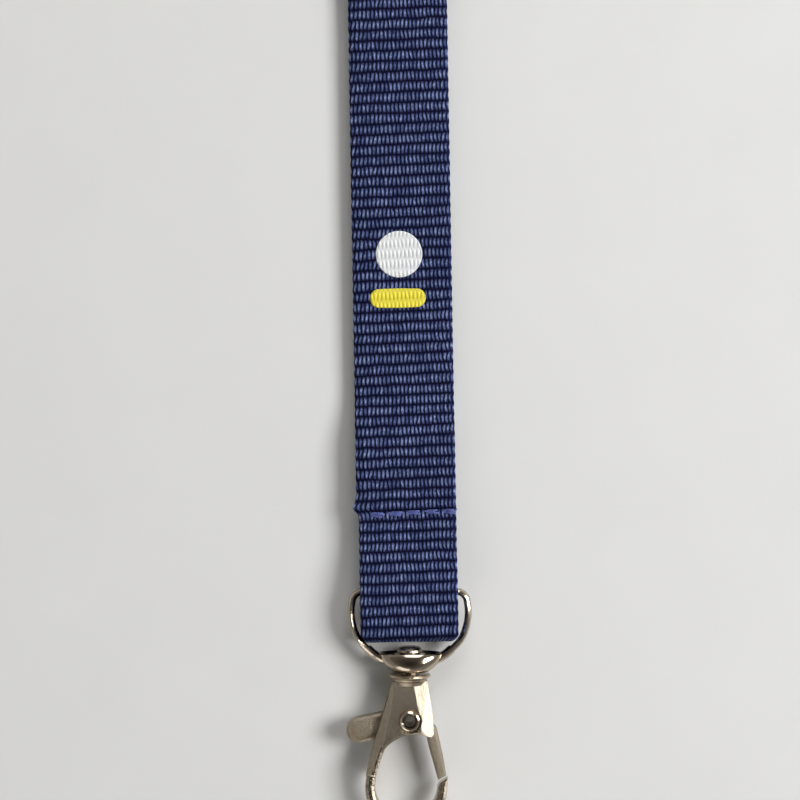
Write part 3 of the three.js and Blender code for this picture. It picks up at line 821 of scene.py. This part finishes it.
def build_print(name, rings, strip, material):
    """A shallow skin of ink on the webbing. rings are outlines from the middle outwards."""
    inked, under = [], []
    for outline in rings:
        z, _ = strip.top_of_front(outline[:, 1], outline[:, 0])
        inked.append(np.column_stack([outline, z + 0.075]))
        under.append(np.column_stack([outline, z - 0.03]))
    around = len(rings[0])
    layers = inked + under[::-1]
    points = np.vstack(layers)
    _, s = strip.top_of_front(points[:, 1], points[:, 0])
    faces = []
    for i in range(len(layers) - 1):
        for j in range(around):
            k = (j + 1) % around
            faces.append([i * around + j, (i + 1) * around + j, (i + 1) * around + k, i * around + k])
    last = (len(layers) - 1) * around
    faces += [list(range(around)), [last + j for j in range(around)][::-1]]
    world = [strip.place(*p) for p in points]
    return mesh_object(name, world, faces, material, np.column_stack([points[:, 0], s]))


def smooth_modifier(obj, angle):
    """Joins the facets' corners and shades all but the real edges smooth, leaving the mesh itself alone."""
    name = f"Smooth under {math.degrees(angle):.0f} degrees"
    tree = bpy.data.node_groups.get(name)
    if tree is None:
        tree = bpy.data.node_groups.new(name, "GeometryNodeTree")
        tree.interface.new_socket("Geometry", in_out="INPUT", socket_type="NodeSocketGeometry")
        tree.interface.new_socket("Geometry", in_out="OUTPUT", socket_type="NodeSocketGeometry")
        nodes = Nodes(tree)
        source = nodes.add("NodeGroupInput")
        sink = nodes.add("NodeGroupOutput")
        merge = nodes.add("GeometryNodeMergeByDistance")
        merge.inputs["Distance"].default_value = 2e-6
        whole = nodes.add("GeometryNodeSetShadeSmooth", domain="FACE")
        edges = nodes.add("GeometryNodeSetShadeSmooth", domain="EDGE")
        turn_angle = nodes.add("GeometryNodeInputMeshEdgeAngle")
        gentle = nodes.add("FunctionNodeCompare", data_type="FLOAT", operation="LESS_THAN")
        gentle.inputs["B"].default_value = angle
        nodes.feed(gentle.inputs["A"], turn_angle.outputs["Unsigned Angle"])
        nodes.feed(merge.inputs["Geometry"], source.outputs[0])
        nodes.feed(whole.inputs["Geometry"], merge.outputs[0])
        nodes.feed(edges.inputs["Geometry"], whole.outputs[0])
        nodes.feed(edges.inputs["Shade Smooth"], gentle.outputs["Result"])
        nodes.feed(sink.inputs[0], edges.outputs[0])
    obj.modifiers.new("Smooth", "NODES").node_group = tree
    weighted = obj.modifiers.new("Flat faces stay flat", "WEIGHTED_NORMAL")
    weighted.keep_sharp = True


def dress(node, material, angle, bevel=0.0):
    """Gives a carried-over node its finish, soft edges and smooth shading."""
    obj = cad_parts[node]
    obj.data.materials.clear()
    obj.data.materials.append(material)
    if bevel:
        soft = obj.modifiers.new("Soft edges", "BEVEL")
        soft.width, soft.segments, soft.angle_limit = bevel, 2, math.radians(50)
    smooth_modifier(obj, angle)
    return obj


# ---------- stage ----------

FLOOR_RADIUS, FLOOR_SIDES = 1.1, 64
WALL_CURVE, WALL_TOP = 0.5, 1.2  # radius of the sweep from floor to wall, and the wall's height, in metres
# Name, size in metres, power in watts and offset from the middle of the strap.
LAMPS = (
    ("key", 0.42, 8.0, (0.68, 0.10, 0.64)),
    ("top", 0.50, 3.4, (0.10, 0.85, 0.60)),
    ("fill", 0.60, 1.5, (-0.35, -0.85, 0.45)),
)


def wall_point(angle):
    """A point on the sweep from the floor, which is level at 0, to the upright wall."""
    return FLOOR_RADIUS + WALL_CURVE * math.sin(angle), WALL_CURVE - WALL_CURVE * math.cos(angle)


# ---------- operators ----------

class LANYARD_OT_stage(bpy.types.Operator):
    """Make the pale floor, the soft lamps and the camera"""

    bl_idname = "lanyard.stage"
    bl_label = "Stage"

    def execute(self, context):
        scene, settings = context.scene, context.scene.lanyard_stage
        floor, nodes, shader = new_material("Pale floor", Roughness=0.9)
        shader.inputs["Specular IOR Level"].default_value = 0.1
        place = nodes.add("ShaderNodeTexCoord").outputs["Object"]
        tone = nodes.math("MULTIPLY_ADD", nodes.noise(place, 60.0, 3.0), 0.05, 0.97)
        nodes.feed(
            shader.inputs["Base Color"],
            nodes.mix(1.0, settings.floor, nodes.combine(tone, tone, tone), "MULTIPLY"),
        )
        curve = [wall_point(angle) for angle in np.linspace(0.1, math.pi / 2, 12)]
        profile = [(FLOOR_RADIUS, 0.0), *curve, (FLOOR_RADIUS + WALL_CURVE, WALL_TOP)]
        spokes = np.linspace(0, 2 * math.pi, FLOOR_SIDES, endpoint=False)
        points = [(r * math.cos(t), r * math.sin(t), h) for r, h in profile for t in spokes]
        faces = []
        for i in range(len(profile) - 1):
            for j in range(FLOOR_SIDES):
                inner, outer, k = i * FLOOR_SIDES, (i + 1) * FLOOR_SIDES, (j + 1) % FLOOR_SIDES
                faces.append([inner + j, outer + j, outer + k, inner + k])
        faces.append(list(range(FLOOR_SIDES)))
        mesh_object("floor", points, faces, floor)

        def lamp(name, size, power, offset):
            data = bpy.data.lights.new(name, "AREA")
            data.size, data.energy = size, power
            obj = bpy.data.objects.new(name, data)
            aim = world_point(0, 50, 0)
            obj.location = aim + Vector(offset)
            obj.rotation_mode = "QUATERNION"
            obj.rotation_quaternion = Vector(offset).to_track_quat("Z", "Y")
            scene.collection.objects.link(obj)

        for name, size, power, offset in LAMPS:
            lamp(name, size, power, offset)

        # Dim overhead and paler towards the walls, so that the plating has something to reflect.
        world = bpy.data.worlds.new("Room")
        world.use_nodes = True
        room = Nodes(world.node_tree)
        _, _, up = room.separate(room.add("ShaderNodeTexCoord").outputs["Generated"])
        level = room.math("POWER", room.math("SUBTRACT", 1.0, room.math("ABSOLUTE", up)), 0.8)
        background = world.node_tree.nodes["Background"]
        room.feed(background.inputs["Color"], room.mix(level, (0.030, 0.026, 0.023), (0.34, 0.33, 0.31)))
        scene.world = world
        scene.view_settings.view_transform = "Standard"

        data = bpy.data.cameras.new("camera")
        data.sensor_width = 36.0
        data.lens = data.sensor_width * settings.camera_height / settings.view_width
        camera = bpy.data.objects.new("camera", data)
        camera.location = world_point(-1.5, 49.2, 3.0) + Vector((0, 0, settings.camera_height))
        scene.collection.objects.link(camera)
        scene.camera = camera
        return {"FINISHED"}


class LANYARD_OT_webbing(bpy.types.Operator):
    """Weave the strap, from its tail through the hank to its sewn-in end, with seam and prints"""

    bl_idname = "lanyard.webbing"
    bl_label = "Webbing"

    def execute(self, context):
        scene = context.scene
        settings, seam, inks = scene.lanyard_webbing, scene.lanyard_seam, scene.lanyard_prints
        weave = weave_group()
        webbing, strip = build_webbing(settings, webbing_material(settings, weave))
        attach(webbing, "strap")
        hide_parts("strap_front", "strap_back", "neck_hank")

        sewing = thread_material(seam)
        pitch = seam.pitch / MM
        starts = [pitch * (i - seam.stitches / 2) + FIRST_STITCH for i in range(seam.stitches)]

        def top(x, y):
            return strip.top_of_front(y, x)[0] + seam.thread_radius / MM

        # Each stitch is a few plies side by side that cross a little, every one laid slightly differently.
        rows = []
        for i, x in enumerate(starts):
            level = SEAM + SEAM_SLOPE * x
            for j, (rise, begin, length, drift) in enumerate(STITCH_PLIES):
                wobble = 0.12 * math.sin(2.3 * i + 1.7 * j)
                end = min(x + begin + length + wobble, SEAM_RIGHT_END)
                rows.append(
                    (x + begin + wobble, end, level + rise, level + rise + drift * math.cos(1.3 * i), top)
                )
        upper = build_threads("seam_stitches", seam, strip, sewing, rows)
        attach(upper, "strap")
        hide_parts("seam_thread_top")

        half = settings.thickness / MM / 2
        low = layer_height(1) - half + 0.30

        def under(x, y):
            return np.full_like(x, low)

        below = []
        for x in starts:
            level = SEAM + SEAM_SLOPE * x
            below.append((x - 0.1, x + 2.3, level, level + 0.05, under))
        lower = build_threads("under_stitches", seam, strip, sewing, below)
        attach(lower, "strap")

        angle = np.linspace(0, 2 * math.pi, 72, endpoint=False)
        x, y, radius = WHITE_DISC
        circle = np.column_stack([np.cos(angle), np.sin(angle)])
        disc = [np.array([x, y]) + r * circle for r in np.linspace(0.15, radius, 22)]
        white = build_print(
            "white_disc", disc, strip, ink_material("White ink", tuple(inks.white), settings, weave),
        )
        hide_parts("print_round")
        x, y, straight_half, radius = YELLOW_BAR
        reach = straight_half * np.sign(np.cos(angle)) * np.minimum(1, np.abs(np.cos(angle)) * 3)
        outline = radius * circle + np.column_stack([reach, np.zeros_like(reach)])
        bar = [np.array([x, y]) + t * outline for t in np.linspace(0.04, 1, 12)]
        yellow = build_print(
            "yellow_bar", bar, strip, ink_material("Yellow ink", tuple(inks.yellow), settings, weave),
        )
        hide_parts("print_bar")
        for ink in (white, yellow):
            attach(ink, "strap")

        return {"FINISHED"}


class LANYARD_OT_band(bpy.types.Operator):
    """Finish the elastic band round the hank"""

    bl_idname = "lanyard.band"
    bl_label = "Hank band"

    def execute(self, context):
        dress("hank_band", band_material(), context.scene.lanyard_metal.smooth_angle, 0.18 * MM)
        return {"FINISHED"}


class LANYARD_OT_metal(bpy.types.Operator):
    """Plate the ring, hook, rivet, lever and spring"""

    bl_idname = "lanyard.metal"
    bl_label = "Ring and hook"

    def execute(self, context):
        metal = context.scene.lanyard_metal
        plating, edges = plating_group(), edge_group()
        nickel, tarnish_and_hollow_shade = tuple(metal.nickel), tuple(metal.tarnish_and_hollow_shade)
        finishes = {
            "ring": plated_material("Ring nickel", nickel, tarnish_and_hollow_shade, plating, edges, 0.2, 0.14, 0.000004),
            "hook_body": plated_material("Hook nickel", nickel, tarnish_and_hollow_shade, plating, edges, 0.75, 0.10, 0.00009),
            "pivot_rivet": plated_material(
                "Rivet nickel",
                tuple(min(1, c * 1.15) for c in nickel),
                tarnish_and_hollow_shade,
                plating,
                edges,
                0.2,
                0.12,
                0.000004,
            ),
            "gate_lever": plated_material(
                "Cast nickel", tuple(metal.cast), tarnish_and_hollow_shade, plating, edges, 1.0, 0.40, 0.00016,
            ),
            "gate_spring": plated_material(
                "Spring wire", (0.42, 0.42, 0.41), (0.2, 0.19, 0.18), plating, edges, 0.1, 0.25, 0.000003,
            ),
        }
        for node, material in finishes.items():
            dress(node, material, metal.facet_angle if node == "hook_body" else metal.smooth_angle)
        return {"FINISHED"}


class LANYARD_PT_panel(bpy.types.Panel):
    bl_idname = "LANYARD_PT_panel"
    bl_label = "Lanyard"
    bl_space_type = "VIEW_3D"
    bl_region_type = "UI"
    bl_category = "Lanyard"

    def draw(self, context):
        for operator in OPERATORS:
            self.layout.operator(operator.bl_idname)
        for _, group, name in SETTINGS:
            self.layout.separator()
            for key in group.__annotations__:
                self.layout.prop(getattr(context.scene, name), key)


OPERATORS = (LANYARD_OT_stage, LANYARD_OT_webbing, LANYARD_OT_band, LANYARD_OT_metal)
SETTINGS = (
    ("webbing", LanyardWebbing, "lanyard_webbing"),
    ("seam", LanyardSeam, "lanyard_seam"),
    ("prints", LanyardPrints, "lanyard_prints"),
    ("metal", LanyardMetal, "lanyard_metal"),
    ("stage", LanyardStage, "lanyard_stage"),
)


def register():
    for _, group, name in SETTINGS:
        bpy.utils.register_class(group)
        setattr(bpy.types.Scene, name, PointerProperty(type=group))
    for operator in OPERATORS:
        bpy.utils.register_class(operator)
    bpy.utils.register_class(LANYARD_PT_panel)


def unregister():
    bpy.utils.unregister_class(LANYARD_PT_panel)
    for operator in reversed(OPERATORS):
        bpy.utils.unregister_class(operator)
    for _, group, name in reversed(SETTINGS):
        delattr(bpy.types.Scene, name)
        bpy.utils.unregister_class(group)


def main():
    register()
    bpy.ops.lanyard.stage()
    bpy.ops.lanyard.webbing()
    bpy.ops.lanyard.band()
    bpy.ops.lanyard.metal()


if __name__ == "__main__":
    main()
